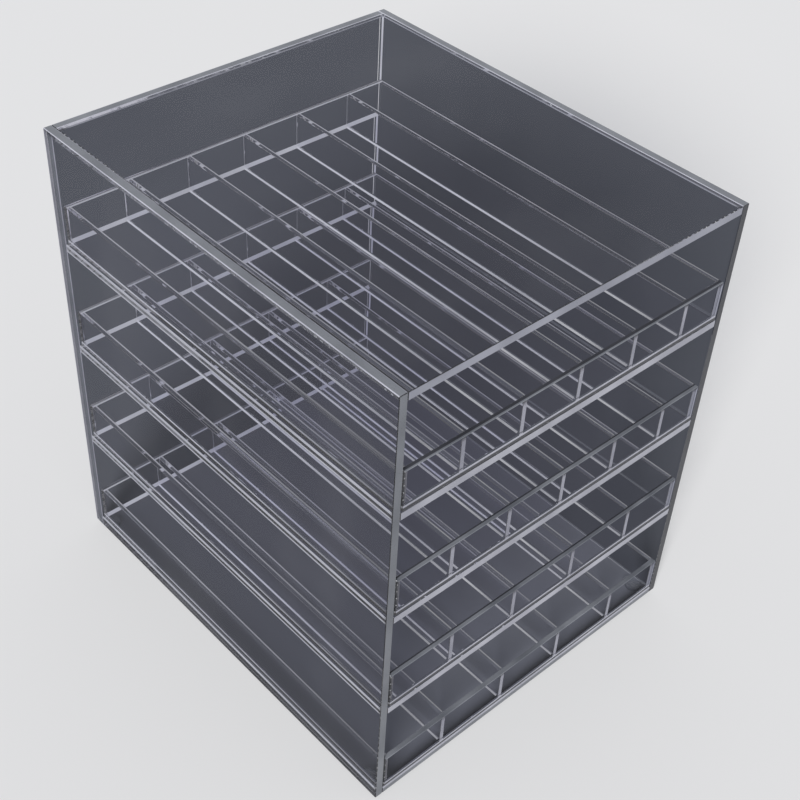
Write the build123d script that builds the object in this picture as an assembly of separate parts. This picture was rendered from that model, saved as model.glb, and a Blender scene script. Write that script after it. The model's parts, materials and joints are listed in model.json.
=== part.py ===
from build123d import *
import os

# A clear acrylic organizer box: an open-fronted case with shelves, and one low divided tray
# sliding on the floor of each tier. +Z is up and the open front faces -Y. The origin is on the
# standing surface, under the middle of the case. All sizes are in millimetres.

# Case
case_width = 240.0
case_depth = 280.0
case_sheet = 5.0
tier_count = 4
tier_clear_height = 67.0
case_edge_break = 0.3

# Bumper feet
foot_diameter = 10.0
foot_height = 3.0
foot_rim_round = 1.2
foot_side_inset = 10.0
foot_end_inset = 12.0

# Trays
tray_height = 25.0
tray_sheet = 3.0
tray_side_gap = 1.0
tray_back_gap = 1.0
tray_rest_gap = 0.3
tray_edge_break = 0.2

# Divided compartments: the upper trays are split finer than the lower ones. The end
# compartments have their own widths and the middle ones share the rest equally.
fine_tray_count = 2
fine_divider_count = 5
fine_left_end_width = 33.5
fine_right_end_width = 24.5
coarse_divider_count = 4
coarse_left_end_width = 40.0
coarse_right_end_width = 37.0

# Outer faces of the case
left = -case_width / 2
right = case_width / 2
front = -case_depth / 2
back = case_depth / 2
base = foot_height
case_height = tier_count * tier_clear_height + (tier_count + 1) * case_sheet
tier_pitch = tier_clear_height + case_sheet

# Inner faces of the case, which the shelves and trays lie between
inner_left = left + case_sheet
inner_right = right - case_sheet
inner_back = back - case_sheet

# Outer and inner faces of every tray
tray_left = inner_left + tray_side_gap
tray_right = inner_right - tray_side_gap
tray_front = front
tray_back = inner_back - tray_back_gap
well_left = tray_left + tray_sheet
well_right = tray_right - tray_sheet
well_front = tray_front + tray_sheet
well_back = tray_back - tray_sheet


def sheet(x_span, y_span, z_span, edge_break):
    """A flat sheet between three pairs of faces, with all its edges broken."""
    spans = (x_span, y_span, z_span)
    size = [high - low for low, high in spans]
    centre = [(low + high) / 2 for low, high in spans]
    return chamfer((Pos(*centre) * Box(*size)).edges(), edge_break)


def case_sheets():
    """The welded case: full-height sides, with the other sheets between them."""
    top = base + case_height
    full_depth = (front, back)
    between_sides = (inner_left, inner_right)
    ahead_of_back = (front, inner_back)
    spans = {
        "case_left_side": ((left, inner_left), full_depth, (base, top)),
        "case_right_side": ((inner_right, right), full_depth, (base, top)),
        "case_back": (between_sides, (inner_back, back), (base, top)),
    }
    level_names = ["case_bottom"]
    level_names += [f"case_shelf_{n}" for n in range(tier_count - 1, 0, -1)]
    level_names += ["case_top"]
    for level, name in enumerate(level_names):
        underside = base + level * tier_pitch
        spans[name] = (between_sides, ahead_of_back, (underside, underside + case_sheet))
    return {name: sheet(*faces, case_edge_break) for name, faces in spans.items()}


def bumper_feet():
    """Four round pads under the corners of the case, rounded where they meet the surface."""
    pad = Cylinder(foot_diameter / 2, foot_height, align=(Align.CENTER, Align.CENTER, Align.MIN))
    pad = fillet(pad.edges().sort_by(Axis.Z)[0], min(foot_rim_round, foot_height / 2))
    across = right - foot_side_inset
    along = back - foot_end_inset
    places = [(x, y) for x in (-across, across) for y in (-along, along)]
    return Compound([Pos(x, y, 0) * pad for x, y in places])


def divider_places(count, left_end_width, right_end_width):
    """The middle of each divider, from left to right."""
    first = well_left + left_end_width + tray_sheet / 2
    last = well_right - right_end_width - tray_sheet / 2
    step = (last - first) / (count - 1)
    return [first + n * step for n in range(count)]


def tray_sheets(tray):
    """One tray: walls and dividers standing on its bottom. Tray 1 is in the top tier."""
    floor = base + (tier_count - tray) * tier_pitch + case_sheet + tray_rest_gap
    wall_span = (floor + tray_sheet, floor + tray_height)
    full_width = (tray_left, tray_right)
    between_ends = (well_front, well_back)
    spans = {
        "bottom": (full_width, (tray_front, tray_back), (floor, floor + tray_sheet)),
        "front_wall": (full_width, (tray_front, well_front), wall_span),
        "back_wall": (full_width, (well_back, tray_back), wall_span),
        "left_wall": ((tray_left, well_left), between_ends, wall_span),
        "right_wall": ((well_right, tray_right), between_ends, wall_span),
    }
    if tray <= fine_tray_count:
        places = divider_places(fine_divider_count, fine_left_end_width, fine_right_end_width)
    else:
        places = divider_places(coarse_divider_count, coarse_left_end_width, coarse_right_end_width)
    for number, x in enumerate(places, start=1):
        thickness = (x - tray_sheet / 2, x + tray_sheet / 2)
        spans[f"divider_{number}"] = (thickness, between_ends, wall_span)
    return {f"tray_{tray}_{name}": sheet(*faces, tray_edge_break) for name, faces in spans.items()}


nodes = case_sheets()
nodes["bumper_feet"] = bumper_feet()
for tray_number in range(1, tier_count + 1):
    nodes.update(tray_sheets(tray_number))

os.makedirs("parts", exist_ok=True)
for node_name, shape in nodes.items():
    export_step(shape, f"parts/{node_name}.step")
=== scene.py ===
"""Clear acrylic cosmetic organizer box: a four-shelf case and four divided trays that slide out."""
import json

import bmesh
import bpy
from mathutils import Matrix, Vector


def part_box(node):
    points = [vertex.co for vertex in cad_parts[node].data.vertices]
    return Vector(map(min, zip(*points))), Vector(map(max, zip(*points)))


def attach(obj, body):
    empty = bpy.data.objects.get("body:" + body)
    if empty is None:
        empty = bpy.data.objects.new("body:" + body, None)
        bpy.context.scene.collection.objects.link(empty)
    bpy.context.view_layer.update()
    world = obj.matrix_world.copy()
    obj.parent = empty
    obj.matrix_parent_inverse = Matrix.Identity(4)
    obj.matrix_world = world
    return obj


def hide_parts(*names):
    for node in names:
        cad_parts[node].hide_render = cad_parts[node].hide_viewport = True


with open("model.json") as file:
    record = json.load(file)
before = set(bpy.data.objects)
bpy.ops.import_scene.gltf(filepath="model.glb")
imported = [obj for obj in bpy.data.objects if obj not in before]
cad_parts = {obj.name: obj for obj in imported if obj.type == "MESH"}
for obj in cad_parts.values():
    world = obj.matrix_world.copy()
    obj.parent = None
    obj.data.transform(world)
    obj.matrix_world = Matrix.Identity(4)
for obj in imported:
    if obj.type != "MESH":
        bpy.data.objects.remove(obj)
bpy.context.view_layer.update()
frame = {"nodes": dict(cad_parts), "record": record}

MM = 0.001
TRAY_SHEET = 3.0 * MM
TIER_HEIGHT = 67.0 * MM  # the clear height between two level sheets of the case
SEAM_GAP = 0.03 * MM  # a drawn sheet stops this short of the next, so no two faces coincide
TOUCH = 0.06 * MM  # sheets nearer than this are welded together,
WELD_SHARE = 0.6  # if they lie along each other for more than this share of the edge

CASE_ARRIS = 0.3 * MM  # how much is taken off the corners of a cut edge: on the case
TRAY_ARRIS = 0.25 * MM  # and on the trays
RIM_STRIP = 0.5 * MM  # how far an arris's painted highlight or shade reaches into the cut edge beside it: on sides and back, on the level sheets of the case, and on the trays
CASE_STRIP = 1.5 * MM  # on the level sheets of the case,
TRAY_STRIP = 1.0 * MM  # and on the trays
STRIP_SLACK = 0.001 * MM  # a strip's line within this of a corner point goes through it

BEAD = 0.8 * MM  # the thread of solvent cement along the foot of a divider
BEAD_SHORT = 1.0 * MM  # how far it stops short of the divider's ends
FILLET = 1.7 * MM  # the thread along the foot of a tray's back wall
CORNER = 0.8 * MM  # the thread up the case's right back corner
THREAD_CLEAR = 0.1 * MM  # how far the threads keep off the faces beside them

ACRYLIC_IOR = 1.49
TOTAL_REFLECTION = 0.98  # a Fresnel share above this means that no light gets out
FADE = (-0.14, 0.03)  # m: a painted shade on the cut edges, from the box's open front, where it is deepest, to where they have their whole tone
SQUARE = 0.3  # a part of a face's normal that is smaller than this counts as none

bodies = frame["record"]["behaviour"]["bodies"]


# Materials

def colour(code):
    """A colour written as sRGB hex, as the linear RGBA that Blender's sockets take."""
    channels = [int(code[i : i + 2], 16) / 255 for i in (1, 3, 5)]
    return [c / 12.92 if c <= 0.04045 else ((c + 0.055) / 1.055) ** 2.4 for c in channels] + [1]


def add(tree, kind, inputs=None, **settings):
    """One node, with its settings, and its inputs as values or as other nodes' outputs."""
    node = tree.nodes.new(kind)
    for name, value in settings.items():
        setattr(node, name, value)
    for key, value in (inputs or {}).items():
        if isinstance(value, bpy.types.NodeSocket):
            tree.links.new(value, node.inputs[key])
        else:
            node.inputs[key].default_value = value
    return node


def new_material(name):
    """An empty material and its node tree."""
    material = bpy.data.materials.new(name)
    material.use_nodes = True
    material.node_tree.nodes.clear()
    return material, material.node_tree


def polished_acrylic(name, tint, lamp_tint, haze, gloss_kept=0.0, looking_out=None, bubbles=0.0,
                     sheen=0.0):
    """Cast acrylic sheet, polished: optically flat and glossy. The eye gets the room through it,
    bent and darkened a little by each face, mirror reflections that grow towards grazing angles,
    and a breath of dust and wiping marks that only shows over dark parts.

    tint: the colour of what the eye sees through one face.
    lamp_tint: the same for lamps, which shine straight through, so the edges inside stay lit.
    haze: how much dust and wiping there is, or on a weld the milky bloom of the solvent.
    gloss_kept: how much of its mirror image a face shows, as the studio is paler than a room.
    looking_out: a painted shade, a darker tint for what shows through the face from its back, so
    that what lies beyond the box looks dark from inside it.
    bubbles: how large the bubbles are in the dry patches of a weld.
    sheen: a painted reflection, a faint emission from each inner face though it is no lamp,
    standing in for the box's own pale lines that the faces mirror to and fro. It makes the box
    mistier where more sheets lie behind each other."""
    material, tree = new_material(name)
    material.cycles.emission_sampling = "NONE"  # too faint to light anything else
    place = add(tree, "ShaderNodeTexCoord").outputs["Object"]
    # wiping marks about 60 mm apart, drawn out along the sheet
    stretch = add(tree, "ShaderNodeMapping", {"Vector": place, "Scale": (9, 16, 5)})
    wipes = add(tree, "ShaderNodeTexNoise", {
        "Vector": stretch.outputs["Vector"], "Scale": 1.0, "Detail": 5.0, "Roughness": 0.6})
    # dust and fine scratches, about 3 mm apart
    dust = add(tree, "ShaderNodeTexNoise", {"Vector": place, "Scale": 350.0, "Detail": 2.0})
    film = add(tree, "ShaderNodeMapRange", {
        "Value": wipes.outputs["Fac"], "From Min": 0.45, "From Max": 0.75,
        "To Min": 0.25 * haze, "To Max": haze})
    specks = add(tree, "ShaderNodeMapRange", {
        "Value": dust.outputs["Fac"], "From Min": 0.66, "From Max": 0.8,
        "To Min": 0.0, "To Max": haze})
    veil = add(tree, "ShaderNodeMath", {
        0: film.outputs["Result"], 1: specks.outputs["Result"]}, operation="ADD")
    if bubbles:
        # bubbles 3 mm apart, in patches about 80 mm long
        cells = add(tree, "ShaderNodeTexVoronoi", {"Vector": place, "Scale": 330.0})
        patch = add(tree, "ShaderNodeTexNoise", {"Vector": place, "Scale": 12.0, "Detail": 1.0})
        reach = add(tree, "ShaderNodeMapRange", {
            "Value": patch.outputs["Fac"], "From Min": 0.45, "From Max": 0.6,
            "To Min": 0.0, "To Max": bubbles})
        inside = add(tree, "ShaderNodeMath", {
            0: cells.outputs["Distance"], 1: reach.outputs["Result"]}, operation="LESS_THAN")
        veil = add(tree, "ShaderNodeMath", {
            0: veil.outputs["Value"], 1: inside.outputs["Value"]}, operation="MAXIMUM")
    smear = add(tree, "ShaderNodeMapRange", {
        "Value": wipes.outputs["Fac"], "From Min": 0.3, "From Max": 0.7,
        "To Min": 0.01, "To Max": 0.06})
    gloss = add(tree, "ShaderNodeFresnel", {"IOR": ACRYLIC_IOR}).outputs["Fac"]
    from_back = add(tree, "ShaderNodeNewGeometry").outputs["Backfacing"]
    kept = add(tree, "ShaderNodeMapRange", {
        "Value": from_back, "To Min": gloss_kept, "To Max": 0.0})
    held = add(tree, "ShaderNodeMath", {0: gloss, 1: kept.outputs["Result"]}, operation="MULTIPLY")
    trapped = add(tree, "ShaderNodeMath", {0: gloss, 1: TOTAL_REFLECTION}, operation="GREATER_THAN")
    share = add(tree, "ShaderNodeMath", {
        0: held.outputs["Value"], 1: trapped.outputs["Value"]}, operation="MAXIMUM")
    through = add(tree, "ShaderNodeBsdfRefraction", {
        "Color": colour(tint), "Roughness": 0.0, "IOR": ACRYLIC_IOR})
    if looking_out:
        dimmed = add(tree, "ShaderNodeBsdfRefraction", {
            "Color": colour(looking_out), "Roughness": 0.0, "IOR": ACRYLIC_IOR})
        through = add(tree, "ShaderNodeMixShader", {
            0: from_back, 1: through.outputs["BSDF"], 2: dimmed.outputs["BSDF"]})
    mirror = add(tree, "ShaderNodeBsdfGlossy", {
        "Color": colour("#FFFFFF"), "Roughness": smear.outputs["Result"]})
    glass = add(tree, "ShaderNodeMixShader", {
        0: share.outputs["Value"], 1: through.outputs[0], 2: mirror.outputs["BSDF"]})
    lamp = add(tree, "ShaderNodeLightPath").outputs["Is Shadow Ray"]
    clear = add(tree, "ShaderNodeBsdfTransparent", {"Color": colour(lamp_tint)})
    pane = add(tree, "ShaderNodeMixShader", {
        0: lamp, 1: glass.outputs["Shader"], 2: clear.outputs["BSDF"]})
    powder = add(tree, "ShaderNodeBsdfDiffuse", {"Color": colour("#D9DBE0")})
    surface = add(tree, "ShaderNodeMixShader", {
        0: veil.outputs["Value"], 1: pane.outputs["Shader"], 2: powder.outputs["BSDF"]})
    # painted reflection: each inner face emits a faint pale light of its own
    if sheen:
        painted_sheen_glow = add(tree, "ShaderNodeEmission", {"Color": colour("#E4E4EA"), "Strength": sheen})
        surface = add(tree, "ShaderNodeAddShader", {
            0: surface.outputs["Shader"], 1: painted_sheen_glow.outputs["Emission"]})
    add(tree, "ShaderNodeOutputMaterial", {"Surface": surface.outputs["Shader"]})
    return material


def cut_edge(name, pale, deep, glow, front=1.0):
    """The sheet's edge, laser-cut. It has a painted glow: an emission in its own tone, though it is
    no lamp, standing in for light trapped in the sheet that comes out at its edges, so it shows
    against the darker panels. It is a little brighter and dimmer along its run (from pale to deep),
    with fine lines across it.
    Its painted light and shade depend on which way the edge faces, so there are five painted tones,
    from a painted highlight to painted shade. front: how much of its tone it keeps at the box's
    open front."""
    material, tree = new_material(name)
    material.cycles.emission_sampling = "NONE"  # too faint to light anything else
    place = add(tree, "ShaderNodeTexCoord").outputs["Object"]
    # brighter and dimmer stretches, about 25 mm long
    run = add(tree, "ShaderNodeTexNoise", {"Vector": place, "Scale": 40.0, "Detail": 2.0})
    # the laser's lines, 0.7 mm apart
    lines = add(tree, "ShaderNodeTexNoise", {"Vector": place, "Scale": 1400.0, "Detail": 1.0})
    tone = add(tree, "ShaderNodeMapRange", {
        "Value": run.outputs["Fac"], "From Min": 0.3, "From Max": 0.7})
    # painted shade: the edge's tone falls off towards the box's open front
    depth = add(tree, "ShaderNodeSeparateXYZ", {"Vector": place}).outputs["Y"]
    painted_front_shade = add(tree, "ShaderNodeMapRange", {
        "Value": depth, "From Min": FADE[0], "From Max": FADE[1], "To Min": front, "To Max": 1.0})
    stretch = add(tree, "ShaderNodeMix", {
        0: tone.outputs["Result"], 6: colour(deep), 7: colour(pale)}, data_type="RGBA")
    shade = add(tree, "ShaderNodeVectorMath", {
        0: stretch.outputs[2], "Scale": painted_front_shade.outputs["Result"]}, operation="SCALE")
    rough = add(tree, "ShaderNodeMapRange", {
        "Value": lines.outputs["Fac"], "From Min": 0.3, "From Max": 0.7,
        "To Min": 0.25, "To Max": 0.5})
    relief = add(tree, "ShaderNodeBump", {
        "Height": lines.outputs["Fac"], "Strength": 0.2, "Distance": 0.0002})
    # painted glow: the edge emits its own tone, though it is no lamp
    body = add(tree, "ShaderNodeBsdfPrincipled", {
        "Base Color": shade.outputs["Vector"], "Roughness": rough.outputs["Result"],
        "IOR": ACRYLIC_IOR, "Normal": relief.outputs["Normal"],
        "Emission Color": shade.outputs["Vector"], "Emission Strength": glow})
    add(tree, "ShaderNodeOutputMaterial", {"Surface": body.outputs["BSDF"]})
    return material


FACE, BRIGHT, PALE, DULL, GREY, DARK, SEAM, OUTER = range(8)  # a sheet's material slots; BRIGHT to DARK are painted tones of light and shade for the cut edges

# Lit and shaded copies of one cut edge: five painted tones, from a painted highlight (bright) to
# painted shade (dark), each but the darkest with a painted glow
case_edges = (
    cut_edge("cast_acrylic_5mm_cut_edge_painted_bright", "#D2D3D9", "#C2C3CA", 0.18),
    cut_edge("cast_acrylic_5mm_cut_edge_painted_pale", "#B1B2BC", "#9596A1", 0.15),
    cut_edge("cast_acrylic_5mm_cut_edge_painted_dull", "#9A9CA8", "#858793", 0.13),
    cut_edge("cast_acrylic_5mm_cut_edge_painted_grey", "#7B7E85", "#666970", 0.1),
    cut_edge("cast_acrylic_5mm_cut_edge_painted_dark", "#3C3D43", "#2E2F34", 0.0),
)
tray_edges = (
    cut_edge("cast_acrylic_3mm_cut_edge_painted_bright", "#D2D3DA", "#C4C5CD", 0.2, front=0.38),
    cut_edge("cast_acrylic_3mm_cut_edge_painted_pale", "#B1B2BC", "#9596A1", 0.15),
    cut_edge("cast_acrylic_3mm_cut_edge_painted_dull", "#9A9CA8", "#858793", 0.13),
    cut_edge("cast_acrylic_3mm_cut_edge_painted_grey", "#7D8087", "#5C5F66", 0.1),
    cut_edge("cast_acrylic_3mm_cut_edge_painted_dark", "#45464C", "#323338", 0.0),
)
case_face = polished_acrylic("cast_acrylic_5mm_polished", "#FBFBFC", "#FBFBFC", 0.004, sheen=0.003)
# The case's outer faces: painted shade that darkens what shows through them from inside the box,
# less on the underside
outer_face = polished_acrylic(
    "cast_acrylic_5mm_polished_outer_face_painted_shade", "#F2F2F4", "#D4D5D8", 0.03,
    gloss_kept=0.1, looking_out="#5F626A")
under_face = polished_acrylic(
    "cast_acrylic_5mm_polished_underside_painted_shade", "#F2F2F4", "#D4D5D8", 0.03,
    gloss_kept=0.1, looking_out="#9DA0A7")
tray_face = polished_acrylic("cast_acrylic_3mm_polished", "#FCFCFD", "#FCFCFD", 0.003, sheen=0.003)
case_seam = polished_acrylic("cast_acrylic_5mm_solvent_welded", "#FBFBFC", "#FDFDFD", 0.08)
tray_seam = polished_acrylic("cast_acrylic_3mm_solvent_welded", "#FBFBFC", "#FDFDFD", 0.06)
top_seam = polished_acrylic(
    "cast_acrylic_5mm_solvent_welded_bubbles", "#FBFBFC", "#FDFDFD", 0.2, bubbles=0.42)

LEFT, RIGHT, FRONT, BACK, DOWN, UP = (
    (-1, 0, 0), (1, 0, 0), (0, -1, 0), (0, 1, 0), (0, 0, -1), (0, 0, 1))


def both(one, other):
    """The direction of the arris between two sides."""
    return tuple(a + b for a, b in zip(one, other))


# Painted light and shade on the cut edges: which painted tone, from a painted highlight (BRIGHT) to
# painted shade (DARK), each kind of sheet shows on the edges and arrises that face the light or
# away from it. A cut edge that isn't named is a seam where it is welded and clear where it is free;
# an arris is clear. The first key that is in a node's name counts, so the closer names come first.
TONES = {
    "case_left_side": {FRONT: GREY, UP: GREY, BACK: PALE, both(LEFT, UP): PALE,
                       both(RIGHT, UP): DULL},
    "case_right_side": {FRONT: DARK, UP: GREY, both(LEFT, UP): PALE, both(RIGHT, UP): GREY},
    "case_back": {UP: GREY, LEFT: GREY, both(FRONT, UP): PALE, both(BACK, UP): PALE,
                  both(LEFT, FRONT): PALE},
    "case_top": {FRONT: DULL, both(RIGHT, DOWN): PALE, both(BACK, DOWN): PALE},
    "case_bottom": {FRONT: GREY, both(FRONT, UP): PALE, both(LEFT, UP): BRIGHT,
                    both(BACK, UP): PALE},
    "case_shelf": {FRONT: PALE, BACK: BRIGHT, both(LEFT, UP): BRIGHT, both(LEFT, DOWN): BRIGHT,
                   both(RIGHT, UP): GREY},
    "bottom": {FRONT: DARK, BACK: BRIGHT, both(FRONT, UP): PALE, both(LEFT, UP): BRIGHT},
    "tray_1_front_wall": {RIGHT: DULL, UP: DARK, both(FRONT, UP): GREY},
    "tray_4_front_wall": {RIGHT: DULL, UP: GREY, both(FRONT, UP): GREY},
    "front_wall": {RIGHT: DULL, UP: GREY, both(FRONT, UP): GREY, both(BACK, UP): DARK},
    "back_wall": {both(FRONT, UP): BRIGHT},
    "left_wall": {FRONT: PALE, both(RIGHT, UP): BRIGHT},
    "right_wall": {FRONT: DULL, both(RIGHT, UP): BRIGHT},
    "divider": {FRONT: PALE, both(RIGHT, UP): BRIGHT, both(LEFT, BACK): BRIGHT},
}


# The sheets

# which side of a case sheet is the box's outside
OUTWARD = {"case_left_side": LEFT, "case_right_side": RIGHT, "case_back": BACK, "case_top": UP,
           "case_bottom": DOWN}


def kind(node):
    """The key of TONES for a node: the first that is in its name."""
    return next(key for key in TONES if key in node)


def welded(node, body, axis, side):
    """Whether the sheet's edge on that side of the axis lies against another sheet of its body."""
    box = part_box(node)
    others = [a for a in range(3) if a != axis]
    for name in bodies[body]:
        if name == node or name == "bumper_feet":
            continue
        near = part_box(name)
        if abs(near[1 - side][axis] - box[side][axis]) > TOUCH:
            continue
        shared = [min(box[1][a], near[1][a]) - max(box[0][a], near[0][a]) for a in others]
        size = [box[1][a] - box[0][a] for a in others]
        if all(s > WELD_SHARE * full for s, full in zip(shared, size)):
            return True
    return False


def way(normal):
    """Which side or arris a face belongs to, as a triple of -1, 0 and 1."""
    return tuple(0 if abs(n) < SQUARE else (1 if n > 0 else -1) for n in normal)


def acrylic_sheet(node, body):
    """One sheet: two polished faces, cut edges in the painted light and shade of TONES, and welded
    edges.
    """
    low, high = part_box(node)
    size = high - low
    thin = min(range(3), key=lambda axis: size[axis])
    is_case = body == "case"
    upright = kind(node) in ("case_left_side", "case_right_side", "case_back")
    strip = RIM_STRIP if upright else CASE_STRIP if is_case else TRAY_STRIP
    tones = TONES[kind(node)]
    shape = bmesh.new()
    bmesh.ops.create_cube(shape, size=1)
    bmesh.ops.scale(shape, verts=shape.verts, vec=[
        size[a] if a == thin else size[a] - 2 * SEAM_GAP for a in range(3)])
    bmesh.ops.translate(shape, verts=shape.verts, vec=(low + high) / 2)
    bmesh.ops.bevel(shape, geom=shape.edges[:], affect="EDGES", segments=1, profile=0.5,
                    material=-1, offset=CASE_ARRIS if is_case else TRAY_ARRIS)
    across = Vector([float(axis == thin) for axis in range(3)])
    for level in (low[thin] + strip, high[thin] - strip):
        bmesh.ops.bisect_plane(shape, geom=shape.verts[:] + shape.edges[:] + shape.faces[:],
                               dist=STRIP_SLACK, plane_co=across * level, plane_no=across)
    for face in shape.faces:
        side = way(face.normal)
        if side[thin] and sum(map(abs, side)) == 1:
            # painted shade: the case's outer faces darken what shows through them from inside
            face.material_index = OUTER if side == OUTWARD.get(node) else FACE
            continue
        place = face.calc_center_median()[thin]
        near = -1 if place < low[thin] + strip else int(place > high[thin] - strip)
        arris = tuple(near if axis == thin else side[axis] for axis in range(3))
        # painted highlight or shade of an arris, and of the strip of cut edge beside it
        if near and arris in tones:
            face.material_index = tones[arris]
        elif side[thin] or sum(map(abs, side)) > 1:
            face.material_index = FACE
        elif side in tones:
            face.material_index = tones[side]
        else:
            axis = next(a for a in range(3) if side[a])
            face.material_index = SEAM if welded(node, body, axis, side[axis] > 0) else FACE
    if "divider" in node:
        foot = Vector((low.x - THREAD_CLEAR, low.y + BEAD_SHORT, low.z + SEAM_GAP))
        cement_thread(shape, foot, (0, size.y - 2 * BEAD_SHORT, 0), (-BEAD, 0, 0), (0, 0, BEAD))
    if "back_wall" in node:
        inset = TRAY_SHEET + THREAD_CLEAR  # it runs between the tray's side walls
        foot = Vector((low.x + inset, low.y - SEAM_GAP, low.z + SEAM_GAP))
        cement_thread(shape, foot, (size.x - 2 * inset, 0, 0), (0, -FILLET, 0), (0, 0, FILLET))
    if "shelf" in node or node == "case_bottom":
        corner = Vector((high.x - SEAM_GAP, high.y - SEAM_GAP, high.z + SEAM_GAP))
        rise = (0, 0, TIER_HEIGHT - THREAD_CLEAR)
        cement_thread(shape, corner, rise, (-CORNER, 0, 0), (0, -CORNER, 0))
    mesh = bpy.data.meshes.new(node + "_acrylic")
    shape.to_mesh(mesh)
    shape.free()
    if not is_case:
        finish = (tray_face, *tray_edges, tray_seam)
    else:
        finish = (case_face, *case_edges, top_seam if node == "case_top" else case_seam,
                  under_face if node == "case_bottom" else outer_face)
    for material in finish:
        mesh.materials.append(material)
    piece = bpy.data.objects.new(node + "_acrylic", mesh)
    bpy.context.scene.collection.objects.link(piece)
    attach(piece, body)
    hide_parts(node)


def cement_thread(shape, corner, run, one, other):
    """A thread of solvent cement in the corner between two sheets: three-sided, as long as run,
    and as wide along each of the two sheets as one and other."""
    ring = [shape.verts.new(corner + Vector(step)) for step in ((0, 0, 0), one, other)]
    end = shape.faces.new(ring)
    drawn = bmesh.ops.extrude_face_region(shape, geom=[end])["geom"]
    moved = [part for part in drawn if isinstance(part, bmesh.types.BMVert)]
    bmesh.ops.translate(shape, verts=moved, vec=run)
    thread = [face for face in shape.faces if all(v in ring or v in moved for v in face.verts)]
    bmesh.ops.recalc_face_normals(shape, faces=thread)
    for face in thread:
        # the thread takes the painted highlight tone, with its painted glow
        face.material_index = BRIGHT


for body, nodes in bodies.items():
    for node in nodes:
        if node != "bumper_feet":
            acrylic_sheet(node, body)


# The feet

def clear_bumper():
    """Clear polyurethane bumper, cast: a soft glassy dome that shows as a pale ring."""
    material, tree = new_material("clear_polyurethane_cast")
    facing = add(tree, "ShaderNodeLayerWeight", {"Blend": 0.35})
    cover = add(tree, "ShaderNodeMapRange", {
        "Value": facing.outputs["Facing"], "To Min": 0.03, "To Max": 0.4})
    clear = add(tree, "ShaderNodeBsdfTransparent", {"Color": colour("#F8F9FA")})
    rubber = add(tree, "ShaderNodeBsdfPrincipled", {
        "Base Color": colour("#D4D6DA"), "Roughness": 0.3, "IOR": 1.5})
    surface = add(tree, "ShaderNodeMixShader", {
        0: cover.outputs["Result"], 1: clear.outputs["BSDF"], 2: rubber.outputs["BSDF"]})
    add(tree, "ShaderNodeOutputMaterial", {"Surface": surface.outputs["Shader"]})
    return material


feet = frame["nodes"]["bumper_feet"]
feet.data.materials.clear()
feet.data.materials.append(clear_bumper())


# The floor, the light and the camera

FLOOR_REACH = 6  # m from the box on each side
CAMERA_PLACE = Vector((-0.4230, -0.4495, 0.6669))
CAMERA_TARGET = Vector((0.0042, -0.0135, 0.1421))
CAMERA_ROLL = 0.06096  # radians, about 3.5 degrees
CAMERA_LENS = 61.8  # mm, for a picture 36 mm wide


def studio_floor():
    """Matt painted board, pale and even, so that only the object and its shadow show."""
    material, tree = new_material("painted_board_matt")
    board = add(tree, "ShaderNodeBsdfDiffuse", {"Color": colour("#EDEDEE")})
    add(tree, "ShaderNodeOutputMaterial", {"Surface": board.outputs["BSDF"]})
    mesh = bpy.data.meshes.new("floor")
    shape = bmesh.new()
    bmesh.ops.create_grid(shape, x_segments=1, y_segments=1, size=FLOOR_REACH)
    shape.to_mesh(mesh)
    shape.free()
    mesh.materials.append(material)
    floor = bpy.data.objects.new("floor", mesh)
    bpy.context.scene.collection.objects.link(floor)


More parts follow.
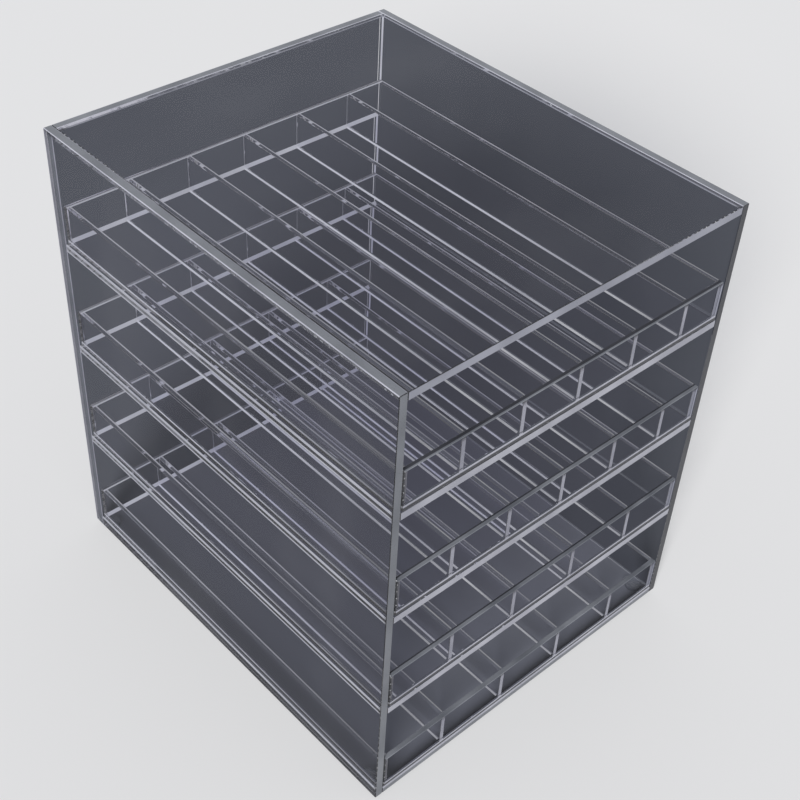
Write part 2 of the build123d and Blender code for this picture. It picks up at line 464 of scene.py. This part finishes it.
def studio_world():
    """A pale room, in the lit floor's own tone, for the camera and for what the sheets reflect and
    let through, and a dimmer one as a lamp."""
    world = bpy.data.worlds.new("studio")
    bpy.context.scene.world = world
    world.use_nodes = True
    tree = world.node_tree
    tree.nodes.clear()
    ray = add(tree, "ShaderNodeLightPath").outputs
    mirrored = add(tree, "ShaderNodeMath", {
        0: ray["Is Glossy Ray"], 1: ray["Is Transmission Ray"]}, operation="MAXIMUM")
    seen = add(tree, "ShaderNodeMath", {
        0: ray["Is Camera Ray"], 1: mirrored.outputs["Value"]}, operation="MAXIMUM")
    pale = add(tree, "ShaderNodeBackground", {"Color": colour("#E2E3E5"), "Strength": 1.0})
    dim = add(tree, "ShaderNodeBackground", {"Color": colour("#7E7F81"), "Strength": 1.0})
    mix = add(tree, "ShaderNodeMixShader", {
        0: seen.outputs["Value"], 1: dim.outputs["Background"], 2: pale.outputs["Background"]})
    add(tree, "ShaderNodeOutputWorld", {"Surface": mix.outputs["Shader"]})


def key_light(toward, strength, spread):
    """A large diffused lamp, far off in the direction toward and spread radians wide. It lights the
    floor evenly, and it is out of sight in mirrors and glass, which show the pale room instead."""
    lamp = bpy.data.lights.new("key", "SUN")
    lamp.energy = strength
    lamp.angle = spread
    holder = bpy.data.objects.new("key", lamp)
    bpy.context.scene.collection.objects.link(holder)
    holder.visible_glossy = holder.visible_transmission = False
    holder.matrix_world = Vector(toward).to_track_quat("Z", "Y").to_matrix().to_4x4()


studio_floor()
studio_world()
key_light(toward=(-3.2, -2.08, 2.25), strength=4.3, spread=0.35)  # to the camera's left

lens = bpy.data.cameras.new("camera")
lens.sensor_fit = "HORIZONTAL"
lens.sensor_width = 36
lens.lens = CAMERA_LENS
lens.clip_start = 0.01
camera = bpy.data.objects.new("camera", lens)
bpy.context.scene.collection.objects.link(camera)
camera.matrix_world = (
    Matrix.Translation(CAMERA_PLACE)
    @ (CAMERA_TARGET - CAMERA_PLACE).to_track_quat("-Z", "Y").to_matrix().to_4x4()
    @ Matrix.Rotation(CAMERA_ROLL, 4, "Z"))
bpy.context.scene.camera = camera

scene = bpy.context.scene
scene.view_settings.view_transform = "Standard"
# Light crosses up to nine sheets, each with two faces, and runs to and fro inside them. The lowest
# numbers keep every path that long, because dark panels grain where Cycles ends paths by chance.
scene.cycles.max_bounces = 40
scene.cycles.transmission_bounces = 40
scene.cycles.glossy_bounces = 24
scene.cycles.diffuse_bounces = 0
scene.cycles.min_light_bounces = 32
scene.cycles.transparent_max_bounces = 96
scene.cycles.min_transparent_bounces = 32
